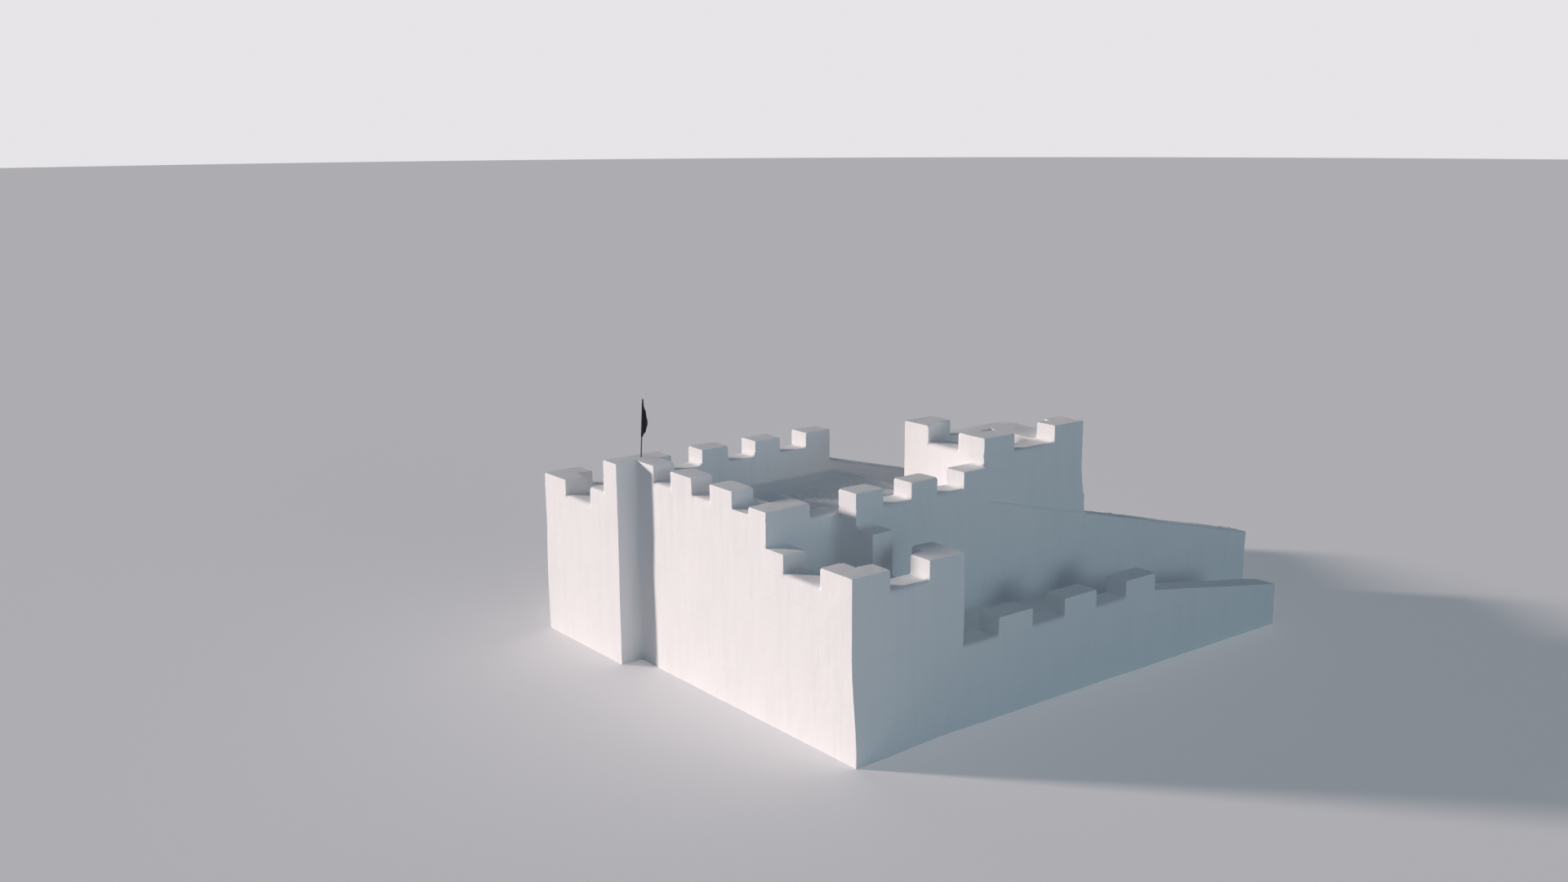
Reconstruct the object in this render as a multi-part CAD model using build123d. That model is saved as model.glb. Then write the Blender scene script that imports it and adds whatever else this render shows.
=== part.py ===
from build123d import *
import os

os.makedirs("parts", exist_ok=True)

# Snow fort: a square keep with two lower corner towers, a taller tower on its east side,
# a broad run down to the east and a narrow chute behind a low battlemented outer wall.
# Millimetres. +X runs along the front wall, +Y from the front to the back, +Z up.
# Heights are measured from the lowest point of the ground round the fort.

# Walls, and how far wear has rounded them
wall_thickness = 830.0
edge_radius = 55.0
lip_radius = 120.0

# Near corner tower
near_tower_length = 4420.0
near_sill_height = 5040.0
near_merlon_height = 610.0
near_floor_depth = 540.0
near_corner_merlon_leg = 1435.0
near_crenel_width = 1550.0
side_sill_end = 3190.0
side_step_height = 590.0

# Keep
keep_length = 8500.0
keep_north_length = 8350.0
keep_front = 4050.0
keep_back = 11240.0
keep_sill_height = 6510.0
keep_merlon_height = 560.0
keep_floor_depth = 1010.0
south_wall_front = 3150.0
south_wall_start = 2800.0
low_crenel_drop = 210.0
corner_pier_length = 1700.0
corner_pier_end = 5800.0
corner_leg_end = 4930.0
corner_merlon_height = 245.0
inner_corner_radius = 350.0
west_crenel_width = 1050.0
west_merlon_width = 1180.0
west_merlon_count = 2
long_wall_merlon_width = 1100.0
long_wall_merlon_count = 3
north_first_merlon = 2650.0
pillar_side = 800.0
pillar_height = 1450.0
flag_corner_leg = 1370.0

# Left tower
left_tower_projection = 840.0
left_tower_length = 4420.0
left_tower_end = 16220.0
left_sill_height = 5320.0
left_merlon_height = 550.0
left_step_height = 630.0
left_step_width = 910.0
left_merlon_leg = 1500.0
left_floor_depth = 540.0

# Far tower
far_tower_setback = 200.0
far_tower_length = 4800.0
far_tower_width = 3910.0
far_east_wall_thickness = 1420.0
far_sill_height = 7400.0
far_merlon_height = 600.0
far_floor_depth = 540.0
far_merlon_leg = 1420.0
far_west_merlon_width = 1210.0
far_east_merlon_width = 1050.0

# Broad run to the east
run_end = 22800.0
run_wall_start_height = 5920.0
run_wall_end_height = 2380.0
run_start_slope = 0.27
run_foot_slope = 0.13
run_foot_height = 120.0

# Chute and its outer wall
chute_end = 20300.0
outer_sill_height = 2670.0
outer_merlon_height = 600.0
outer_first_merlon = 5940.0
outer_merlon_width = 1500.0
outer_merlon_pitch = 2980.0
outer_merlon_count = 3
outer_tail_end_height = 1520.0
chute_head_length = 2000.0
chute_start_slope = 0.9
chute_landing_distance = 2300.0
chute_landing_height = 2330.0
chute_landing_slope = 0.04
chute_brow_distance = 5900.0
chute_brow_height = 2230.0
chute_brow_slope = 0.07
chute_foot_slope = 0.13
chute_foot_height = 120.0

# Flag
pole_radius = 22.0
pole_height = 2000.0
pole_from_keep_face = 400.0
pole_seat = 150.0
pole_lean = 3.5
flag_width = 200.0
flag_length = 1300.0
flag_thickness = 40.0
flag_clearance = 0.3

# Positions that follow from the sizes above
near_corner = (
    left_tower_projection - (left_tower_projection + run_end) / 2,
    -left_tower_end / 2,
)
keep_back_outer = keep_back + wall_thickness
keep_floor_height = keep_sill_height - keep_floor_depth
near_floor_height = near_sill_height - near_floor_depth
left_floor_height = left_sill_height - left_floor_depth
far_floor_height = far_sill_height - far_floor_depth
low_sill_height = keep_sill_height - low_crenel_drop
south_wall_back = south_wall_front + wall_thickness
chute_merlon_start = near_corner_merlon_leg + near_crenel_width
chute_mouth = near_tower_length - wall_thickness
far_tower_front = south_wall_front + far_tower_setback
far_tower_east = keep_length + far_tower_length
far_tower_back = far_tower_front + far_tower_width
left_tower_east = left_tower_length - left_tower_projection
outer_crenels_end = (
    outer_first_merlon + outer_merlon_pitch * (outer_merlon_count - 1) + outer_merlon_width
)


def block(x0, x1, y0, y1, z0, z1):
    """A straight-cut block of snow between two corners."""
    solid = Box(x1 - x0, y1 - y0, z1 - z0, align=(Align.MIN, Align.MIN, Align.MIN))
    return Pos(x0, y0, z0) * solid


def worn(solid, joined_at=None):
    """Rounds a cut block's top edges, apart from one on its back that joins a higher wall."""
    edges = solid.edges().group_by(Axis.Z)[-1]
    if joined_at is not None:
        edges = edges - edges.filter_by_position(Axis.Y, joined_at - 1, joined_at + 1)
    return fillet(edges, edge_radius)


def lip(x, y, height, length, turn):
    """The snow that wear takes off a sill's outer edge, between two merlons.

    The edge starts at x and y, and runs away at the turn, in degrees, with the wall on its left.
    """
    edge = Box(length, lip_radius, lip_radius, align=(Align.MIN, Align.MIN, Align.MAX))
    round_edge = Rotation(0, 90, 0) * Cylinder(
        lip_radius, length, align=(Align.CENTER, Align.CENTER, Align.MIN))
    worn_off = edge - Pos(0, lip_radius, -lip_radius) * round_edge
    return Pos(x, y, height) * Rotation(0, 0, turn) * worn_off


def side_profile(points, y0, y1):
    """A profile drawn in X and Z and cut through from y0 to y1."""
    face = make_face(Plane.XZ * Polyline(points, close=True))
    return Pos(0, y0, 0) * extrude(face, y1 - y0, dir=(0, 1, 0))


def sloping_bed(points, falls, y0, y1):
    """Snow under a smooth path in X and Z, down to the ground, cut through from y0 to y1.

    The path passes each point at that point's fall, as a slope.
    """
    path = Spline(*points, tangents=[(1, -fall) for fall in falls])
    start, end = points[0], points[-1]
    sides = Polyline(end, (end[0], 0), (start[0], 0), start)
    face = make_face(Plane.XZ * (Curve() + [path, sides]))
    return Pos(0, y0, 0) * extrude(face, y1 - y0, dir=(0, 1, 0))


def corner_merlon(x_corner, y_corner, x_leg, y_leg, z0, height):
    """An L-shaped merlon on the corner of two walls; signed legs run away from the corner."""
    x_wall = wall_thickness if x_leg > 0 else -wall_thickness
    y_wall = wall_thickness if y_leg > 0 else -wall_thickness
    along_x = block(*sorted((x_corner, x_corner + x_leg)), *sorted((y_corner, y_corner + y_wall)),
                    z0, z0 + height)
    along_y = block(*sorted((x_corner, x_corner + x_wall)), *sorted((y_corner, y_corner + y_leg)),
                    z0, z0 + height)
    return worn(along_x + along_y)


def near_tower():
    """The low tower at the near corner, with a step up towards the keep."""
    pieces = {}
    west_wall = block(0, wall_thickness, 0, keep_front, 0, near_sill_height)
    side_lip = lip(0, side_sill_end, near_sill_height, side_sill_end - near_corner_merlon_leg, 270)
    pieces["near_tower_west_wall"] = west_wall - side_lip
    front_wall = block(wall_thickness, near_tower_length, 0, wall_thickness, 0, near_sill_height)
    east_wall = block(chute_mouth, near_tower_length, wall_thickness, near_corner_merlon_leg,
                      0, near_sill_height)
    front_lip = lip(near_corner_merlon_leg, 0, near_sill_height, near_crenel_width, 0)
    pieces["near_tower_front_wall"] = front_wall + east_wall - front_lip
    pieces["near_tower_corner_merlon"] = corner_merlon(
        0, 0, near_corner_merlon_leg, near_corner_merlon_leg, near_sill_height, near_merlon_height)
    pieces["near_tower_chute_merlon"] = corner_merlon(
        near_tower_length, 0, chute_merlon_start - near_tower_length, near_corner_merlon_leg,
        near_sill_height, near_merlon_height)
    step = block(0, wall_thickness, side_sill_end, keep_front,
                 near_sill_height, near_sill_height + side_step_height)
    pieces["near_tower_step"] = worn(step, keep_front)
    floor = block(wall_thickness, chute_mouth, wall_thickness, south_wall_front, 0, near_floor_height)
    recess = block(wall_thickness, south_wall_start, south_wall_front, keep_front,
                   0, near_floor_height)
    pieces["near_tower_floor"] = floor + recess
    pillar = block(
        south_wall_start, south_wall_start + pillar_side, south_wall_front - pillar_side,
        south_wall_front, near_floor_height, near_floor_height + pillar_height)
    pieces["keep_foot_pillar"] = worn(pillar, south_wall_front)
    return pieces


def leaning(solid):
    """Stands a solid made over the origin on the pole's foot, leaning as the pole does."""
    foot = keep_sill_height + keep_merlon_height - pole_seat
    return Pos(pole_from_keep_face, keep_back + wall_thickness / 2, foot) * Rot(0, pole_lean, 0) * solid


def flag_pole():
    """The round pole, seated a little way into the flag merlon."""
    return leaning(Cylinder(pole_radius, pole_height + pole_seat,
                            align=(Align.CENTER, Align.CENTER, Align.MIN)))


def keep_corner():
    """The keep's near corner: a pier with a low merlon, and the low crenel beside it."""
    pieces = {}
    pier = block(wall_thickness, corner_pier_length, keep_front, corner_pier_end,
                 0, keep_sill_height)
    low_crenel = block(corner_pier_length, south_wall_start, keep_front,
                       keep_front + wall_thickness, 0, low_sill_height)
    low_lip = lip(corner_pier_length, keep_front, low_sill_height,
                  south_wall_start - corner_pier_length, 0)
    pieces["keep_corner_pier"] = pier + low_crenel - low_lip
    corner_top = keep_sill_height + corner_merlon_height
    wall_leg = block(0, corner_pier_length, keep_front, corner_leg_end, keep_sill_height, corner_top)
    pier_leg = block(wall_thickness, corner_pier_length, corner_leg_end, corner_pier_end,
                     keep_sill_height, corner_top)
    pieces["keep_corner_merlon"] = worn(wall_leg + pier_leg)
    return pieces


def keep_west_side():
    """The keep's west wall with its merlons, the last of them at the foot of the flag."""
    pieces = {}
    merlon_top = keep_sill_height + keep_merlon_height
    wall = block(0, wall_thickness, keep_front, keep_back, 0, keep_sill_height)
    pitch = west_merlon_width + west_crenel_width
    for number in range(west_merlon_count):
        start = corner_pier_end + number * pitch
        end = start + west_merlon_width
        pieces[f"keep_west_merlon_{number + 1}"] = worn(
            block(0, wall_thickness, start, end, keep_sill_height, merlon_top))
        wall -= lip(0, end + west_crenel_width, keep_sill_height, west_crenel_width, 270)
    pieces["keep_west_wall"] = wall
    flag_leg_start = corner_pier_end + west_merlon_count * pitch
    flag_leg = block(0, wall_thickness, flag_leg_start, keep_back, keep_sill_height, merlon_top)
    flag_corner = block(-left_tower_projection, flag_corner_leg, keep_back, keep_back_outer,
                        keep_sill_height, merlon_top)
    pieces["keep_flag_merlon"] = worn(flag_corner + flag_leg) - flag_pole()
    return pieces


def keep_long_wall(side, wall, first_merlon, y_front, lip_edge, lip_turn):
    """A long wall with evenly spaced merlons, the last of them at the wall's east end."""
    pieces = {}
    last_merlon = wall.bounding_box().max.X - long_wall_merlon_width
    pitch = (last_merlon - first_merlon) / (long_wall_merlon_count - 1)
    crenel = pitch - long_wall_merlon_width
    for number in range(long_wall_merlon_count):
        start = first_merlon + number * pitch
        pieces[f"keep_{side}_merlon_{number + 1}"] = worn(block(
            start, start + long_wall_merlon_width, y_front, y_front + wall_thickness,
            keep_sill_height, keep_sill_height + keep_merlon_height))
        if number > 0:
            lip_start = start if lip_turn else start - crenel
            wall -= lip(lip_start, lip_edge, keep_sill_height, crenel, lip_turn)
    pieces[f"keep_{side}_wall"] = wall
    return pieces


def keep_inner_corner():
    """The hollow-cut snow left in the corner between the low crenel and the south wall's end."""
    radius = inner_corner_radius
    corner = block(south_wall_start - radius, south_wall_start, keep_front - radius, keep_front,
                   near_floor_height, low_sill_height - lip_radius)
    hollow = Cylinder(radius, low_sill_height, align=(Align.CENTER, Align.CENTER, Align.MIN))
    return corner - Pos(south_wall_start - radius, keep_front - radius, 0) * hollow


def keep():
    """The keep: four battlemented walls round a high floor, open to the east."""
    pieces = {**keep_corner(), **keep_west_side()}
    south_wall = block(south_wall_start, keep_length, south_wall_front, south_wall_back,
                       0, keep_sill_height)
    pieces.update(keep_long_wall("south", south_wall, south_wall_start, south_wall_front,
                                 south_wall_front, 0))
    north_wall = block(-left_tower_projection, keep_north_length, keep_back, keep_back_outer,
                       0, keep_sill_height)
    first_lip = lip(north_first_merlon, keep_back_outer, keep_sill_height,
                    north_first_merlon - flag_corner_leg, 180)
    pieces.update(keep_long_wall("north", north_wall - first_lip, north_first_merlon, keep_back,
                                 keep_back_outer, 180))
    floor = block(wall_thickness, keep_length, south_wall_back, keep_back, 0, keep_floor_height)
    corner = block(wall_thickness, corner_pier_length, south_wall_back, corner_pier_end,
                   0, keep_floor_height)
    sill_foot = block(corner_pier_length, south_wall_start, south_wall_back,
                      keep_front + wall_thickness, 0, keep_floor_height)
    pieces["keep_floor"] = floor - corner - sill_foot
    return pieces


def left_tower():
    """The low tower at the back left corner, standing forward of the keep's west wall."""
    pieces = {}
    west = -left_tower_projection
    north = left_tower_end - wall_thickness
    east = left_tower_east - wall_thickness
    step_end = keep_back_outer + left_step_width
    merlon_start = left_tower_end - left_merlon_leg
    west_wall = block(west, west + wall_thickness, keep_back_outer, left_tower_end,
                      0, left_sill_height)
    pieces["left_tower_west_wall"] = west_wall - lip(
        west, merlon_start, left_sill_height, merlon_start - step_end, 270)
    north_wall = block(west + wall_thickness, left_tower_east, north, left_tower_end,
                       0, left_sill_height)
    north_crenel = left_tower_length - 2 * left_merlon_leg
    pieces["left_tower_north_wall"] = north_wall - lip(
        left_tower_east - left_merlon_leg, left_tower_end, left_sill_height, north_crenel, 180)
    east_wall = block(east, left_tower_east, keep_back_outer, north, 0, left_sill_height)
    pieces["left_tower_east_wall"] = east_wall - lip(
        left_tower_east, keep_back_outer, left_sill_height, merlon_start - keep_back_outer, 90)
    pieces["left_tower_floor"] = block(
        west + wall_thickness, east, keep_back_outer, north, 0, left_floor_height)
    step = block(west, west + wall_thickness, keep_back_outer, step_end,
                 left_sill_height, left_sill_height + left_step_height)
    pieces["left_tower_step"] = worn(step, keep_back_outer)
    pieces["left_tower_corner_merlon"] = corner_merlon(
        west, left_tower_end, left_merlon_leg, -left_merlon_leg, left_sill_height,
        left_merlon_height)
    pieces["left_tower_back_merlon"] = corner_merlon(
        left_tower_east, left_tower_end, -left_merlon_leg, -left_merlon_leg, left_sill_height,
        left_merlon_height)
    return pieces


def far_tower():
    """The tallest tower, on the east side of the keep, with merlons on three of its corners."""
    pieces = {}
    west, east = keep_length, far_tower_east
    south, north = far_tower_front, far_tower_back
    west_inner = west + wall_thickness
    east_inner = east - far_east_wall_thickness
    crenel_start = west + far_merlon_leg
    south_wall = block(west, east, south, south + wall_thickness, 0, far_sill_height)
    pieces["far_tower_south_wall"] = south_wall - lip(
        crenel_start, south, far_sill_height, far_tower_length - 2 * far_merlon_leg, 0)
    north_wall = block(west, east, north - wall_thickness, north, 0, far_sill_height)
    pieces["far_tower_north_wall"] = north_wall - lip(
        east, north, far_sill_height, east - crenel_start, 180)
    west_wall = block(west, west_inner, south + wall_thickness, north - wall_thickness,
                      0, far_sill_height)
    pieces["far_tower_west_wall"] = west_wall - lip(
        west, north - far_west_merlon_width, far_sill_height,
        far_tower_width - 2 * far_west_merlon_width, 270)
    east_wall = block(east_inner, east, south + wall_thickness, north - wall_thickness,
                      0, far_sill_height)
    pieces["far_tower_east_wall"] = east_wall - lip(
        east, south + far_east_merlon_width, far_sill_height,
        far_tower_width - wall_thickness - far_east_merlon_width, 90)
    pieces["far_tower_floor"] = block(
        west_inner, east_inner, south + wall_thickness, north - wall_thickness,
        0, far_floor_height)
    corners = (
        ("south_west", west, south, far_merlon_leg, far_west_merlon_width),
        ("south_east", east, south, -far_merlon_leg, far_east_merlon_width),
        ("north_west", west, north, far_merlon_leg, -far_west_merlon_width),
    )
    for name, x, y, x_leg, y_leg in corners:
        pieces[f"far_tower_{name}_merlon"] = corner_merlon(
            x, y, x_leg, y_leg, far_sill_height, far_merlon_height)
    return pieces


def run_wall(start, y0, y1):
    """A wall beside the run, whose top slopes down with it and is rounded along both edges."""
    slope_start = (start, run_wall_start_height)
    wall = side_profile([(start, 0), (run_end, 0), (run_end, run_wall_end_height), slope_start], y0, y1)
    coping = wall.faces().filter_by(Axis.Y, reverse=True).sort_by(Axis.Z)[-1]
    return fillet(coping.edges().filter_by(Axis.Y, reverse=True), edge_radius)


def east_run():
    """The broad run from the keep down to the ground, between two sloping walls."""
    pieces = {}
    tower = block(keep_length, far_tower_east, far_tower_front, far_tower_back, 0, far_sill_height)
    bed = sloping_bed([(keep_length, keep_floor_height), (run_end, run_foot_height)],
                      [run_start_slope, run_foot_slope], south_wall_back, keep_back)
    pieces["east_run"] = bed - tower
    pieces["run_south_wall"] = run_wall(keep_length, south_wall_front, south_wall_back) - tower
    pieces["run_north_wall"] = run_wall(keep_north_length, keep_back, keep_back_outer)
    return pieces


def outer_wall():
    """The low battlemented wall in front of the chute, with a sloping end."""
    pieces = {}
    outline = [(near_tower_length, 0), (chute_end, 0), (chute_end, outer_tail_end_height),
               (outer_crenels_end, outer_sill_height), (near_tower_length, outer_sill_height)]
    wall = side_profile(outline, 0, wall_thickness)
    crenel_start = near_tower_length
    for number in range(outer_merlon_count):
        start = outer_first_merlon + number * outer_merlon_pitch
        wall -= lip(crenel_start, 0, outer_sill_height, start - crenel_start, 0)
        crenel_start = start + outer_merlon_width
        merlon = block(start, crenel_start, 0, wall_thickness,
                       outer_sill_height, outer_sill_height + outer_merlon_height)
        pieces[f"outer_wall_merlon_{number + 1}"] = worn(merlon)
    pieces["outer_wall"] = wall
    return pieces


def chute():
    """The narrow chute: a steep drop from the near tower, a level stretch and a long way down."""
    points = [(chute_mouth, near_floor_height),
              (chute_mouth + chute_landing_distance, chute_landing_height),
              (chute_mouth + chute_brow_distance, chute_brow_height),
              (chute_end, chute_foot_height)]
    falls = [chute_start_slope, chute_landing_slope, chute_brow_slope, chute_foot_slope]
    bed = sloping_bed(points, falls, wall_thickness, south_wall_front)
    head_end = near_tower_length + chute_head_length
    head_room = block(chute_mouth, head_end, near_corner_merlon_leg, south_wall_front,
                      0, near_floor_height)
    beside_wall = block(chute_mouth, near_tower_length, wall_thickness, near_corner_merlon_leg,
                        0, near_floor_height)
    return {"chute_head": bed & head_room, "chute_floor": bed - head_room - beside_wall}


def flag():
    """The pole with a narrow feather-shaped flag beside its upper half."""
    top = pole_height + pole_seat
    start = pole_radius + flag_clearance
    foot_tip = (start, 0, top - flag_length)
    head_tip = (start, 0, top)
    free_edge = Spline(head_tip,
                       (start + 0.30 * flag_width, 0, top - 0.16 * flag_length),
                       (start + 0.78 * flag_width, 0, top - 0.41 * flag_length),
                       (start + flag_width, 0, top - 0.62 * flag_length),
                       (start + 0.55 * flag_width, 0, top - 0.86 * flag_length),
                       foot_tip)
    outline = make_face([free_edge, Line(foot_tip, head_tip)])
    cloth = Pos(0, -flag_thickness / 2, 0) * extrude(outline, flag_thickness, dir=(0, 1, 0))
    return {"flag_pole": flag_pole(), "flag": leaning(cloth)}


pieces = {}
for build in (near_tower, keep, left_tower, far_tower, east_run, outer_wall, chute, flag):
    pieces.update(build())
pieces["keep_south_wall"] += keep_inner_corner()

place = Pos(near_corner[0], near_corner[1], 0)
for name, solid in pieces.items():
    shape = place * solid
    shape.label = name
    export_step(shape, f"parts/{name}.step")
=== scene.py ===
import math

import bmesh
import bpy
import numpy as np
from mathutils import Euler, Matrix, Quaternion, Vector, kdtree, noise


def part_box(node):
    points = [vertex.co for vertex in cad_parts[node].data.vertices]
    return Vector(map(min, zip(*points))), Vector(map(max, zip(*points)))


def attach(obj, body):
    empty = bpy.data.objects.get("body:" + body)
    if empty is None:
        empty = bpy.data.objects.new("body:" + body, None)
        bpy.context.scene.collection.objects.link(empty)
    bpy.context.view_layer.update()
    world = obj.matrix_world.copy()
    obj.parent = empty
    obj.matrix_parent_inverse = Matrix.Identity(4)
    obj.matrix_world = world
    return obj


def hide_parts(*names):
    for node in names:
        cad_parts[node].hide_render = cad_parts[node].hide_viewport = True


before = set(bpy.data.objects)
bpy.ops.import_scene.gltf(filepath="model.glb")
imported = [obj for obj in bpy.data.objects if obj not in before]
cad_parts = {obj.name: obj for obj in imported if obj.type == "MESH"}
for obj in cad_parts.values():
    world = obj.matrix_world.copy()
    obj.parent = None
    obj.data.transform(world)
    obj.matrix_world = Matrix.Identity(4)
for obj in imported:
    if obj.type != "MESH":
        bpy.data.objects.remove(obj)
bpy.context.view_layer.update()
collection = bpy.context.scene.collection

# Camera: it hangs well above the ground off the fort's near corner, and looks a little down at
# the corner tower, with the sunny side on the left and the shaded front on the right.
fort_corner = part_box("near_tower_corner_merlon")[0]
camera_place = (fort_corner.x - 26.42, fort_corner.y - 31.29, 18.5)
camera_tilt = math.radians(77.80)
camera_heading = math.radians(-37.52)
camera_roll = math.radians(-0.30)
camera_data = bpy.data.cameras.new("camera")
camera_data.lens = 34.80
camera_data.sensor_width = 36.0
camera_data.clip_end = 2000.0
camera = bpy.data.objects.new("camera", camera_data)
camera.location = camera_place
level_view = Euler((camera_tilt, 0.0, camera_heading)).to_quaternion()
camera.rotation_mode = "QUATERNION"
camera.rotation_quaternion = level_view @ Quaternion((0.0, 0.0, 1.0), camera_roll)
collection.objects.link(camera)
bpy.context.scene.camera = camera
bpy.context.scene.view_settings.view_transform = "Standard"


# Floor, background and light: a plain pale floor under an even pale sky. A soft low lamp shines
# from the back left on the walls that face it, and a weak cool one lights the shaded front.
class Wire:
    """One socket of a node tree. Sums written with it add their Math nodes."""

    def __init__(self, tree, socket=None):
        self.tree = tree
        self.socket = socket

    def node(self, kind, settings, inputs, output=0):
        """Adds a node, its settings first and then the values or links of its sockets."""
        made = self.tree.nodes.new(kind)
        for name, setting in settings.items():
            setattr(made, name, setting)
        for name, value in inputs.items():
            if isinstance(value, Wire):
                self.tree.links.new(value.socket, made.inputs[name])
            else:
                made.inputs[name].default_value = value
        return Wire(self.tree, made.outputs[output] if made.outputs else None)

    def maths(self, operation, first, second):
        return self.node("ShaderNodeMath", {"operation": operation}, {0: first, 1: second})

    def __add__(self, other):
        return self.maths("ADD", self, other)

    def __radd__(self, other):
        return self.maths("ADD", other, self)

    def __sub__(self, other):
        return self.maths("SUBTRACT", self, other)

    def __rsub__(self, other):
        return self.maths("SUBTRACT", other, self)

    def __mul__(self, other):
        return self.maths("MULTIPLY", self, other)

    def __rmul__(self, other):
        return self.maths("MULTIPLY", other, self)


def empty_tree(owner):
    """Turns nodes on in a material or world and takes out the ones it starts with."""
    owner.use_nodes = True
    owner.node_tree.nodes.clear()
    return Wire(owner.node_tree)


def mesh_object(name, shape):
    """Puts a finished bmesh into the scene as an object at the origin."""
    mesh = bpy.data.meshes.new(name)
    shape.to_mesh(mesh)
    shape.free()
    made = bpy.data.objects.new(name, mesh)
    collection.objects.link(made)
    return made


floor_radius = 600.0
floor_colour = (0.94, 0.93, 0.94, 1.0)
floor_glow = 0.20
backdrop_colour = (0.80, 0.78, 0.80, 1.0)
fill_colour = (0.54, 0.77, 1.0, 1.0)
fill_strength = 0.155

disc = bmesh.new()
bmesh.ops.create_circle(disc, cap_ends=True, segments=96, radius=floor_radius)
floor = mesh_object("floor", disc)
floor_finish = bpy.data.materials.new("floor")
wires = empty_tree(floor_finish)
matt = wires.node("ShaderNodeBsdfDiffuse", {}, {"Color": floor_colour})
pale = wires.node("ShaderNodeEmission", {}, {"Color": backdrop_colour})
seen = wires.node("ShaderNodeLightPath", {}, {}, "Is Camera Ray")
floor_surface = wires.node("ShaderNodeMixShader", {}, {0: floor_glow * seen, 1: matt, 2: pale})
wires.node("ShaderNodeOutputMaterial", {}, {"Surface": floor_surface})
floor.data.materials.append(floor_finish)

world = bpy.data.worlds.new("pale_sky")
bpy.context.scene.world = world
wires = empty_tree(world)
fill_light = wires.node("ShaderNodeBackground", {}, {"Color": fill_colour, "Strength": fill_strength})
backdrop = wires.node("ShaderNodeBackground", {}, {"Color": backdrop_colour, "Strength": 1.0})
seen = wires.node("ShaderNodeLightPath", {}, {}, "Is Camera Ray")
mirrored = wires.node("ShaderNodeLightPath", {}, {}, "Is Glossy Ray")
through = wires.node("ShaderNodeLightPath", {}, {}, "Is Transmission Ray")
plain_view = wires.maths("MAXIMUM", wires.maths("MAXIMUM", seen, mirrored), through)
sky = wires.node("ShaderNodeMixShader", {}, {0: plain_view, 1: fill_light, 2: backdrop})
wires.node("ShaderNodeOutputWorld", {}, {"Surface": sky})


def soft_lamp(name, heading, height, energy, colour, spread):
    """A far lamp whose light runs along the heading, in plan, and falls from the height, in degrees."""
    data = bpy.data.lights.new(name, "SUN")
    data.energy = energy
    data.color = colour
    data.angle = math.radians(spread)
    lamp = bpy.data.objects.new(name, data)
    runs = Vector((*heading, 0.0)).normalized() - Vector((0.0, 0.0, math.tan(math.radians(height))))
    lamp.rotation_mode = "QUATERNION"
    lamp.rotation_quaternion = runs.to_track_quat("-Z", "Y")
    collection.objects.link(lamp)


soft_lamp("low_lamp", (0.67, -0.742), 13.0, 3.42, (1.0, 0.865, 0.81), 7.0)
soft_lamp("front_lamp", (-0.10, 0.99), 6.0, 0.53, (0.70, 0.91, 1.0), 30.0)

# Packed snow: snow blown into forms, trodden hard and cut to shape with saws and spades. The
# forms leave faint level lines, the saws leave upright streaks, and the cut face is fine grained.
# bright_snow is the snow's own tone. grey_snow_and_painted_shade is a cool grey that is partly the snow's
# own tone and partly painted shade on the upright faces.
bright_snow = (0.96, 0.95, 0.945, 1.0)
grey_snow_and_painted_shade = (0.83, 0.84, 0.86, 1.0)
lift_height = 0.62
snow = bpy.data.materials.new("packed_snow")
wires = empty_tree(snow)
place = wires.node("ShaderNodeTexCoord", {}, {}, "Object")
facing = wires.node("ShaderNodeNewGeometry", {}, {}, "Normal")
upward = wires.node("ShaderNodeSeparateXYZ", {}, {0: facing}, "Z")
height = wires.node("ShaderNodeSeparateXYZ", {}, {0: place}, "Z")


def stretched(scale):
    """The place on the piece with each axis scaled, for patterns that run one way."""
    return wires.node("ShaderNodeVectorMath", {"operation": "MULTIPLY"}, {0: place, 1: scale})


def cloudy(where, scale, detail, roughness=0.5):
    """A soft random pattern from 0 to 1."""
    return wires.node("ShaderNodeTexNoise", {}, {
        "Vector": where, "Scale": scale, "Detail": detail, "Roughness": roughness})


def between(value, low, high):
    """0 below low, 1 above high, and smooth between them."""
    return wires.node("ShaderNodeMapRange", {"interpolation_type": "SMOOTHSTEP"},
                      {"Value": value, "From Min": low, "From Max": high})


def mixed(share, first, second):
    """The first colour with this share of the second in it."""
    return wires.node("ShaderNodeMix", {"data_type": "RGBA"}, {0: share, 6: first, 7: second}, 2)


def finish(inputs):
    """Ends a material with one surface that has these inputs."""
    surface = wires.node("ShaderNodeBsdfPrincipled", {}, inputs)
    wires.node("ShaderNodeOutputMaterial", {}, {"Surface": surface})


level_face = between(upward, 0.55, 0.9)
broad_tone = cloudy(place, 0.55, 3.0)
saw_streaks = cloudy(stretched((1.0, 1.0, 0.09)), 3.4, 4.0, 0.6)
fine_grain = cloudy(place, 34.0, 3.0)
small_lumps = cloudy(place, 5.5, 3.0)
lift_wave = height + 0.10 * cloudy(place, 0.9, 2.0)
from_lift = wires.maths("PINGPONG", lift_wave, lift_height / 2)
lift_shows = between(cloudy(stretched((0.35, 0.35, 1.2)), 0.8, 2.0), 0.48, 0.66)
lift_line = (1 - between(from_lift, 0.0, 0.03)) * (1 - level_face) * lift_shows
trodden = wires.node("ShaderNodeTexVoronoi", {"feature": "SMOOTH_F1"},
                     {"Vector": place, "Scale": 3.4, "Smoothness": 0.6}, "Distance")
trodden_floor = wires.node("ShaderNodeAttribute", {"attribute_name": "trodden"}, {}, "Fac")
streak_depth = between(saw_streaks, 0.42, 0.68) * (1 - level_face)
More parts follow.
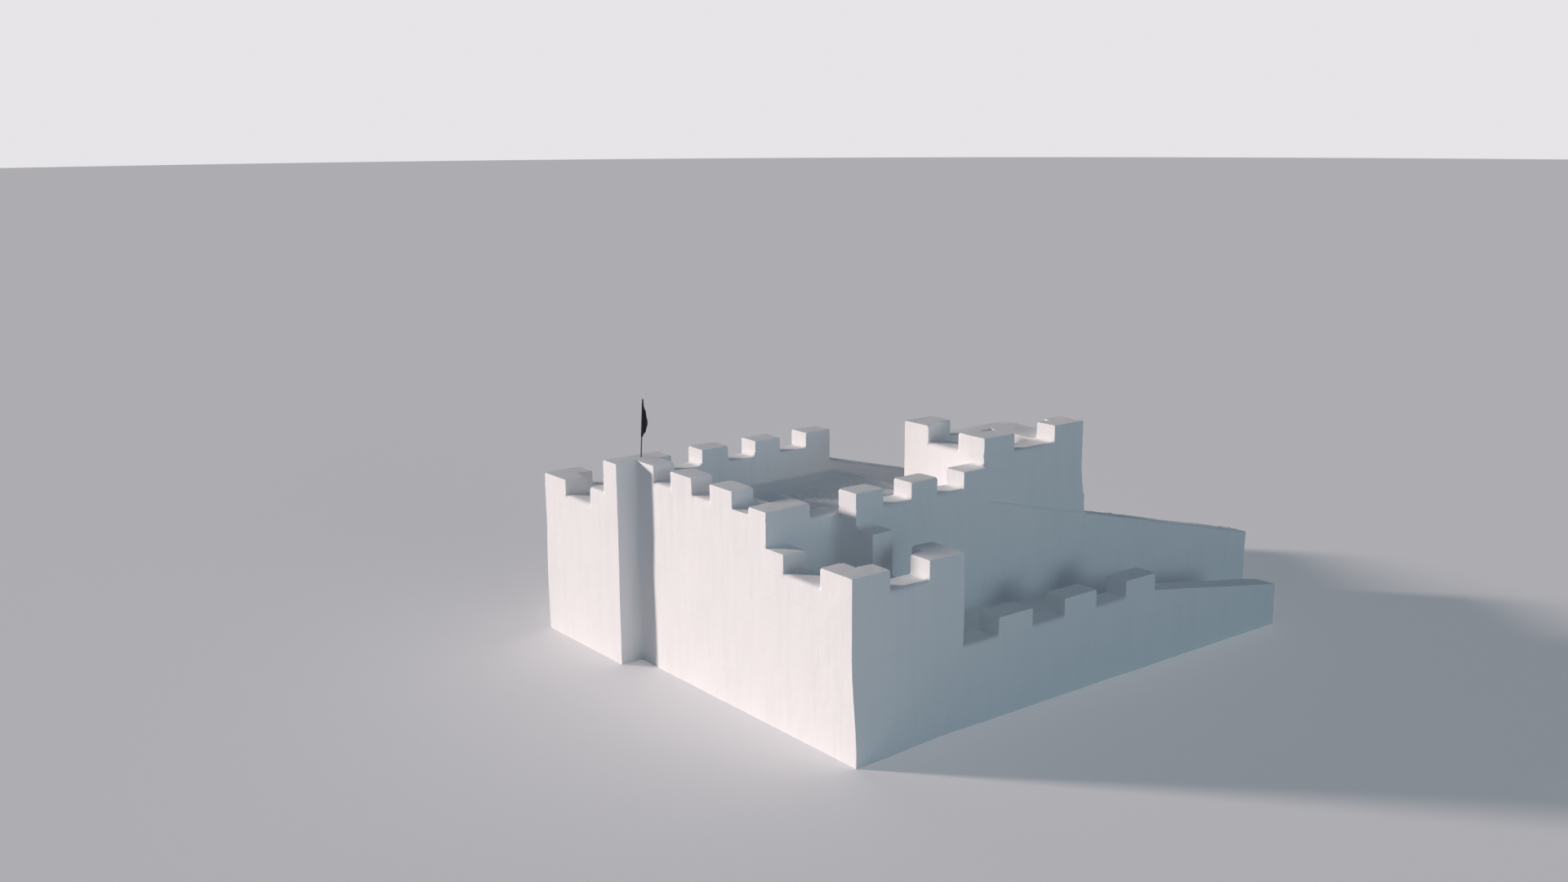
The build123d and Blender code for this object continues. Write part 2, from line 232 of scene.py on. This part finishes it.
# Painted shade: the upright faces are mixed towards the cool grey while the level tops keep the bright
# tone, so the tops stand lighter. Broad tone, saw streaks, lift lines and fine grain are the snow's own
# tone.
shade = (0.34 - 0.42 * level_face + 0.26 * broad_tone + 0.16 * streak_depth + 0.20 * lift_line
         + 0.14 * fine_grain)
relief = (0.006 * small_lumps + 0.0012 * fine_grain - 0.003 * streak_depth - 0.002 * lift_line
          + 0.016 * between(trodden, 0.05, 0.42) * level_face * trodden_floor)
snow_relief = wires.node("ShaderNodeBump", {}, {"Strength": 1.0, "Distance": 1.0, "Height": relief})
finish({
    "Base Color": mixed(shade, bright_snow, grey_snow_and_painted_shade), "Roughness": 0.72 + 0.22 * fine_grain,
    "Normal": snow_relief, "Specular IOR Level": 0.25})

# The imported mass: the fort is one solid heap of snow, filled and trodden in one go, with no
# joints between its walls, floors and battlements. Saws cut its edges sharp, and they wear a
# little, while blown snow settles in its inner corners.
grain_size = 0.055
below_ground = 0.30
overlap = 0.008
worn_top = 0.055
sharp_cut = math.radians(40)
mark_spacing = 0.015
edge_reach = 0.75 * grain_size
wave_depth = 0.024
wave_size = 1.8
ripple_depth = 0.006
ripple_size = 0.4
heap = bmesh.new()
cut_edges = []
for name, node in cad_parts.items():
    if not name.startswith("flag"):
        block = bmesh.new()
        block.from_mesh(node.data)
        bmesh.ops.remove_doubles(block, verts=block.verts, dist=0.0003)
        low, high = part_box(name)
        middle = (low + high) / 2
        larger = [1 + overlap / side for side in high - low]
        bmesh.ops.translate(block, verts=block.verts, vec=-middle)
        bmesh.ops.scale(block, verts=block.verts, vec=larger)
        bmesh.ops.translate(block, verts=block.verts, vec=middle)
        foot = [corner for corner in block.verts if corner.co.z < 0.02]
        bmesh.ops.translate(block, verts=foot, vec=(0.0, 0.0, -below_ground))
        block.normal_update()

        # Where a block's top edge is rounded, the rim below it is marked at the top's full height
        rim_height = max(corner.co.z for corner in block.verts) - worn_top
        for edge in block.edges:
            ends = [corner.co.copy() for corner in edge.verts]
            upright = any(abs(face.normal.z) < 0.01 for face in edge.link_faces)
            if edge.calc_face_angle(0.0) > sharp_cut:
                cut_edges.append(ends)
            elif upright and all(abs(end.z - rim_height) < 0.004 for end in ends):
                cut_edges.append([end + Vector((0.0, 0.0, worn_top)) for end in ends])
        grown = bpy.data.meshes.new("block")
        block.to_mesh(grown)
        block.free()
        heap.from_mesh(grown)
        bpy.data.meshes.remove(grown)
mass = mesh_object("packed_mass", heap)
packing = mass.modifiers.new("packing", "REMESH")
packing.mode = "VOXEL"
packing.voxel_size = grain_size


def finished_mesh(worked):
    """A mesh of the object with its modifiers applied."""
    return bpy.data.meshes.new_from_object(worked.evaluated_get(bpy.context.evaluated_depsgraph_get()))


def points_of(mesh, what="co"):
    """The mesh's points, or their facings, one to a row."""
    found = np.empty(len(mesh.vertices) * 3, np.float32)
    mesh.vertices.foreach_get(what, found)
    return found.reshape(-1, 3)


def unevenness(places, size, start):
    """A soft random value from -1 to 1 for each place, in lumps of about that size."""
    shift = Vector((start, 2 * start, 3 * start))
    return np.array([[noise.noise(Vector(place) / size + shift)] for place in places])


# Points of the mass that lie beside a cut edge are drawn onto it
edge_marks = []
for start, end in cut_edges:
    steps = max(round((end - start).length / mark_spacing), 1)
    edge_marks += [start.lerp(end, step / steps) for step in range(steps + 1)]
near_edge = kdtree.KDTree(len(edge_marks))
for number, mark in enumerate(edge_marks):
    near_edge.insert(mark, number)
near_edge.balance()

cut = finished_mesh(mass)
mass.modifiers.clear()
places = points_of(cut)
facings = points_of(cut, "normal")
for number, (spot, outward) in enumerate(zip(places, facings)):
    mark, _, distance = near_edge.find(spot)
    if distance < edge_reach and abs((mark - Vector(spot)).dot(Vector(outward))) > 0.5 * distance:
        places[number] = mark
cut.vertices.foreach_set("co", places.ravel())
cut.update()
crisp = bmesh.new()
crisp.from_mesh(cut)
bmesh.ops.remove_doubles(crisp, verts=crisp.verts, dist=0.0005)
crisp.to_mesh(cut)
crisp.free()
mass.data = cut

# Edges wear off and inner corners fill up unevenly, and the cut faces are a little wavy
wear = mass.modifiers.new("wear", "SMOOTH")
wear.factor = 0.35
wear.iterations = 4
worn_places = points_of(finished_mesh(mass))
mass.modifiers.clear()
places = points_of(cut)
facings = points_of(cut, "normal")
worn_off = worn_places - places
filled_in = (worn_off * facings).sum(axis=1, keepdims=True) > 0
wear_varies = unevenness(places, 0.7, 4.0)
edge_wear = np.clip(-0.05 + 0.8 * wear_varies, 0.0, 0.5)
corner_fill = np.clip(0.25 + 0.5 * wear_varies, 0.05, 0.6)
places += worn_off * np.where(filled_in, corner_fill, edge_wear)
places += facings * (wave_depth * unevenness(places, wave_size, 1.0)
                     + ripple_depth * unevenness(places, ripple_size, 2.0))
cut.vertices.foreach_set("co", places.ravel())
cut.update()

# Near tower: the low tower at the near corner, cut from the packed snow with a look-out gap in
# each outer wall and a step up to the keep. Its foot spreads where shovelled snow was left.
cutter_height = 10.0


def cut_out(name, nodes, outline):
    """Cuts a part of the fort out of the mass, over an outline measured from the near corner."""
    prism = bmesh.new()
    ring = [prism.verts.new((fort_corner.x + x, fort_corner.y + y, 0.0)) for x, y in outline]
    base = prism.faces.new(ring)
    raised = bmesh.ops.extrude_face_region(prism, geom=[base])["geom"]
    top = [part for part in raised if isinstance(part, bmesh.types.BMVert)]
    bmesh.ops.translate(prism, verts=top, vec=(0.0, 0.0, cutter_height))
    bmesh.ops.recalc_face_normals(prism, faces=prism.faces)
    cutter = mesh_object("cutter", prism)
    saw = mass.modifiers.new("saw", "BOOLEAN")
    saw.operation = "INTERSECT"
    saw.solver = "MANIFOLD"
    saw.object = cutter
    piece = bpy.data.objects.new(name, finished_mesh(mass))
    piece.data.name = name
    collection.objects.link(piece)
    mass.modifiers.clear()
    bpy.data.objects.remove(cutter)
    piece.data.materials.clear()
    piece.data.materials.append(snow)
    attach(piece, "root")
    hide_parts(*nodes)
    return piece


def named(*beginnings):
    """The frame's nodes whose names begin with one of these words."""
    return [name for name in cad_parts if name.startswith(beginnings)]


def from_corner(piece):
    """The piece's points, measured from the fort's near corner."""
    return points_of(piece.data) - np.array([fort_corner.x, fort_corner.y, 0.0], np.float32)


def fade(value, full, none):
    """1 where the value is at full, 0 where it is at none, and smooth between them."""
    part = np.clip((value - none) / (full - none), 0.0, 1.0)
    return part * part * (3 - 2 * part)


def shift_points(piece, shift):
    """Moves each point of the piece by its row of the shift."""
    moved = points_of(piece.data) + shift
    piece.data.vertices.foreach_set("co", moved.astype(np.float32).ravel())
    piece.data.update()


def tread(piece, floors, depth):
    """Treads the floors of a piece: dents them, and marks them for the snow's finish."""
    places = points_of(piece.data)
    level = points_of(piece.data, "normal")[:, 2] > 0.8
    walked = np.zeros(len(places), bool)
    for floor_name in floors:
        low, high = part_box(floor_name)
        past_low = places > np.array(low) + [0.08, 0.08, -1.0]
        short_of_high = places < np.array(high) + [-0.08, -0.08, 0.15]
        walked |= (past_low & short_of_high).all(axis=1)
    walked &= level
    mark = piece.data.attributes.new("trodden", "FLOAT", "POINT")
    mark.data.foreach_set("value", walked.astype(np.float32))
    dents = np.abs(unevenness(places, 0.32, 5.0)) + 0.6 * np.abs(unevenness(places, 0.15, 6.0))
    shift = np.zeros_like(places)
    shift[:, 2] = -depth * walked * dents[:, 0]
    shift_points(piece, shift)


def dress(piece):
    """Shades a piece smooth apart from the flat faces where it was cut from its neighbours."""
    piece.data.shade_smooth()
    piece.data.set_sharp_from_angle(angle=math.radians(55))


near_tower = cut_out("near_tower", named("near_tower"), [
    (-1.5, -1.0), (4.56, -1.0), (4.56, 1.56), (3.45, 1.56), (3.45, 2.23), (2.68, 2.23),
    (2.68, 3.90), (-1.5, 3.90)])
foot_spread = 0.22
x, y, z = from_corner(near_tower).T
spread = fade(z, 0.3, 3.3) * fade(y, 0.0, 1.4)
along_front = spread * fade(x, 0.0, 4.2)
shift_points(near_tower, np.stack([0 * x, -foot_spread * along_front, 0 * x], axis=1))
tread(near_tower, ["near_tower_floor"], 0.05)
dress(near_tower)

# Keep: the tall main block, solid snow up to its floor, with battlements on three sides and a
# hollow-cut inner corner. The pillar at its foot was left standing beside the chute.
keep = cut_out("keep", named("keep"), [
    (-1.5, 3.90), (2.68, 3.90), (2.68, 2.23), (3.73, 2.23), (3.73, 3.02), (8.62, 3.02),
    (8.62, 12.22), (-1.5, 12.22)])
tread(keep, ["keep_floor"], 0.05)
dress(keep)

# Left tower: the low tower beyond the keep's far corner, which stands out from the west wall.
# It is cut like the near tower, with a step in its wall head beside the keep.
left_tower = cut_out("left_tower", named("left_tower"), [
    (-1.5, 12.22), (5.0, 12.22), (5.0, 17.0), (-1.5, 17.0)])
tread(left_tower, ["left_tower_floor"], 0.05)
dress(left_tower)

# Far tower: the highest block, a square look-out that rises from the run's south wall. It is set
# back from the wall's face, and loose snow lies on the ledge and spreads round its foot.
foot_reach = 0.13
crumb_size = 0.05
ledge_height = 5.92
ledge_start = 8.5
ledge_fall = 0.248


def crumble(piece, wall):
    """Strews patches of loose snow over the sloping top of a wall."""
    places = points_of(piece.data)
    low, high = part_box(wall)
    over_wall = (places[:, 1] > low.y - 0.02) & (places[:, 1] < high.y + 0.02)
    top = over_wall & (points_of(piece.data, "normal")[:, 2] > 0.6) & (places[:, 2] < high.z + 0.1)
    shift = np.zeros_like(places)
    lies_here = fade(unevenness(places, 0.8, 9.0)[:, 0], 0.35, -0.15)
    shift[:, 2] = crumb_size * top * lies_here * unevenness(places, 0.16, 8.0)[:, 0].clip(0.0)
    shift_points(piece, shift)


far_tower = cut_out("far_tower", named("far_tower"), [
    (8.62, 3.02), (13.42, 3.02), (13.42, 7.40), (8.62, 7.40)])
x, y, z = from_corner(far_tower).T
above_ledge = z - ledge_height + ledge_fall * (x - ledge_start)
near_foot = fade(above_ledge, 0.0, 1.7)
east_foot = foot_reach * near_foot * fade(x, 13.2, 12.0) * fade(x, 13.3, 13.42)
south_foot = 0.6 * foot_reach * near_foot * fade(y, 3.34, 4.2) * fade(y, 3.33, 3.24)
shift_points(far_tower, np.stack([east_foot, -south_foot, 0 * x], axis=1))
tread(far_tower, ["far_tower_floor"], 0.04)
crumble(far_tower, "run_south_wall")
dress(far_tower)

# Broad run: a wide slope from the keep's floor down to the ground between two walls whose tops
# fall with it. Use has left shallow ruts along its packed bed.
back_wall_worn = 0.22
rut_depth = 0.05
broad_run = cut_out("broad_run", named("east_run", "run_"), [
    (8.62, 7.40), (13.42, 7.40), (13.42, 3.02), (24.0, 3.02), (24.0, 12.22), (8.62, 12.22)])
x, y, z = from_corner(broad_run).T
worn_end = -back_wall_worn * fade(x, 22.8, 19.5) * fade(y, 11.1, 10.6)
on_bed = (points_of(broad_run.data, "normal")[:, 2] > 0.8) & (y > 4.1) & (y < 11.1)
long_lumps = unevenness(np.stack([0.06 * x, y, 0 * x], axis=1), 0.9, 7.0)[:, 0]
ruts = long_lumps * on_bed * fade(y, 4.8, 4.1) * fade(y, 10.4, 11.1)
shift_points(broad_run, np.stack([worn_end, 0 * x, rut_depth * ruts], axis=1))
tread(broad_run, ["east_run"], 0.02)
crumble(broad_run, "run_south_wall")
crumble(broad_run, "run_north_wall")
dress(broad_run)

# Chute: a narrow slide from the near tower down behind the outer wall, first steep, then nearly
# level, then long and even. Its bed is hollowed and smooth from use.
chute_hollow = 0.07
chute_middle = 1.99
chute_width = 2.2
chute = cut_out("chute", named("chute"), [
    (3.45, 1.56), (4.56, 1.56), (4.56, 0.96), (21.5, 0.96), (21.5, 3.02), (3.73, 3.02),
    (3.73, 2.23), (3.45, 2.23)])
x, y, z = from_corner(chute).T
bed = points_of(chute.data, "normal")[:, 2] > 0.5
across_bed = np.cos(np.pi * (y - chute_middle) / chute_width).clip(0.0)
hollow = chute_hollow * across_bed * bed * fade(x, 5.6, 4.0) * fade(x, 19.0, 20.2)
shift_points(chute, np.stack([0 * x, 0 * x, -hollow], axis=1))
tread(chute, ["chute_floor", "chute_head"], 0.012)
dress(chute)

# Outer wall: a low wall in front of the chute, with three broad merlons and a plain sloping end.
# It was cut from a bank of snow pushed up against the near tower, and has no floor to tread.
outer_wall = cut_out("chute_outer_wall", named("outer_wall"), [
    (4.56, -1.0), (21.5, -1.0), (21.5, 0.96), (4.56, 0.96)])
tread(outer_wall, [], 0.0)
dress(outer_wall)
bpy.data.objects.remove(mass)

# Flag pole: a thin dull metal tube pushed down into the merlon, so it leans a little. It stays
# the frame's own tube.
pole_radius = 0.022
pole_length = 2.15
pole_lean = math.radians(3.5)
dark_metal = (0.05, 0.05, 0.055, 1.0)
scuffed_metal = (0.13, 0.13, 0.14, 1.0)
pole_low, pole_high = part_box("flag_pole")
pole_foot = Vector((
    pole_low.x + pole_radius * math.cos(pole_lean),
    (pole_low.y + pole_high.y) / 2,
    pole_low.z + pole_radius * math.sin(pole_lean)))
along_pole = Matrix.Translation(pole_foot) @ Matrix.Rotation(pole_lean, 4, "Y")
dull_metal = bpy.data.materials.new("dull_metal")
wires = empty_tree(dull_metal)
place = wires.node("ShaderNodeTexCoord", {}, {}, "Object")
scuffs = cloudy(stretched((1.0, 1.0, 0.08)), 55.0, 4.0)
finish({
    "Base Color": mixed(scuffs, dark_metal, scuffed_metal), "Roughness": 0.32 + 0.3 * scuffs,
    "Metallic": 0.6})
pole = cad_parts["flag_pole"]
pole.data.materials.clear()
pole.data.materials.append(dull_metal)

# Flag: a narrow feather-shaped flag of thin dark cloth, sewn to a sleeve over the pole's upper
# half. There is no wind, so it hangs in a few soft upright folds.
flag_width = 0.255
flag_length = 1.30
narrowest = 0.03
fold_depth = 0.017
fold_spacing = 0.115
fold_twist = 1.6
slack_begins = 0.05
cloth_shrink = 0.78
cloth_thickness = 0.0015
below_pole_top = 0.01
sleeve_radius = pole_radius + 0.004
sleeve_steps = 40
sleeve_gather = 0.018
gather_depth = 0.05
dark_cloth = (0.007, 0.007, 0.009, 1.0)
faded_cloth = (0.030, 0.030, 0.036, 1.0)
flag_cloth = bpy.data.materials.new("flag_cloth")
wires = empty_tree(flag_cloth)
weave_place = wires.node("ShaderNodeTexCoord", {}, {}, "UV")
across = wires.node("ShaderNodeTexWave", {"bands_direction": "X"}, {"Vector": weave_place, "Scale": 60.0})
down = wires.node("ShaderNodeTexWave", {"bands_direction": "Y"}, {"Vector": weave_place, "Scale": 260.0})
threads = across * down
faded = cloudy(weave_place, 6.0, 3.0)
cloth_relief = wires.node("ShaderNodeBump", {}, {"Strength": 0.6, "Distance": 0.0004, "Height": threads})
finish({
    "Base Color": mixed(0.6 * faded + 0.4 * threads, dark_cloth, faded_cloth),
    "Roughness": 0.78 + 0.15 * faded, "Normal": cloth_relief, "Sheen Weight": 0.05})


def cloth_object(name, shape):
    """Sets a cloth shape along the pole, and gives it the cloth's thickness and finish."""
    bmesh.ops.transform(shape, matrix=along_pole, verts=shape.verts)
    made = mesh_object(name, shape)
    thickness = made.modifiers.new("thickness", "SOLIDIFY")
    thickness.thickness = cloth_thickness
    thickness.offset = 0.0
    made.data.materials.append(flag_cloth)
    made.data.shade_smooth()
    return made


cloth = bmesh.new()
bmesh.ops.create_grid(cloth, x_segments=24, y_segments=72, size=0.5, calc_uvs=True)
for point in cloth.verts:
    down_cloth = 0.5 - point.co.y
    width = flag_width * max(math.sin(math.pi * down_cloth ** 1.6), narrowest)
    point.co = (width * (point.co.x + 0.5), 0.0, -flag_length * down_cloth)
cut_area = sum(face.calc_area() for face in cloth.faces)
for point in cloth.verts:
    out, _, drop = point.co
    turn = 2 * math.pi * out / (fold_spacing / cloth_shrink) + fold_twist * drop
    slack = min(out / slack_begins, 1.0)
    point.co = (sleeve_radius + cloth_shrink * out, slack * fold_depth * math.sin(turn),
                pole_length + drop - below_pole_top)
flag = cloth_object("flag_sheet", cloth)
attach(flag, "root")
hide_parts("flag")

tube = bmesh.new()
bmesh.ops.create_circle(tube, segments=20, radius=sleeve_radius)
rim = tube.edges[:]
for step in range(sleeve_steps):
    made = bmesh.ops.extrude_edge_only(tube, edges=rim)["geom"]
    rim = [part for part in made if isinstance(part, bmesh.types.BMEdge)]
    lifted = [part for part in made if isinstance(part, bmesh.types.BMVert)]
    bmesh.ops.translate(tube, verts=lifted, vec=(0.0, 0.0, flag_length / sleeve_steps))
for point in tube.verts:
    point.co.x *= 1.0 + gather_depth * math.sin(point.co.z / sleeve_gather)
bmesh.ops.translate(tube, verts=tube.verts, vec=(0.0, 0.0, pole_length - flag_length - below_pole_top))
bmesh.ops.recalc_face_normals(tube, faces=tube.faces)
sleeve = cloth_object("flag_sleeve", tube)
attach(sleeve, "root")
